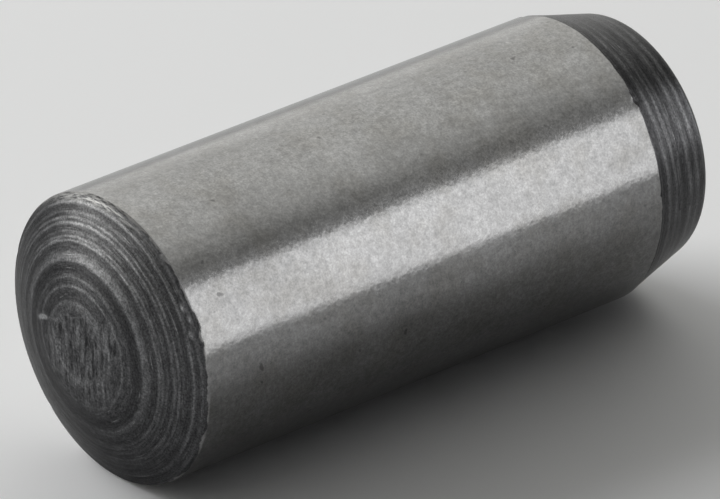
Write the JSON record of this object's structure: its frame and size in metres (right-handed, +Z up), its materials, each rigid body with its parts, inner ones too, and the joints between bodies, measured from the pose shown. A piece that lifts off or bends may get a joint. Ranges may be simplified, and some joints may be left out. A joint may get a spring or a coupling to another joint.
{
  "type": "dowel pin",
  "caption": "Hardened steel dowel pin: a ground cylindrical body with a crowned, ring-turned end and a tapered lead end, pressed into reamed holes to locate parts.",
  "frame": {"origin": "on the pin's axis, at the middle of the ground body", "axes": "+X along the axis from the crowned end to the lead end, +Z up with the pin lying on its side"},
  "size_m": [0.0242, 0.01, 0.01],
  "materials": {
    "hardened_steel": "ground satin body, dark as-turned ends"
  },
  "bodies": {
    "root": {"dowel_pin": "hardened_steel"}
  },
  "joints": []
}
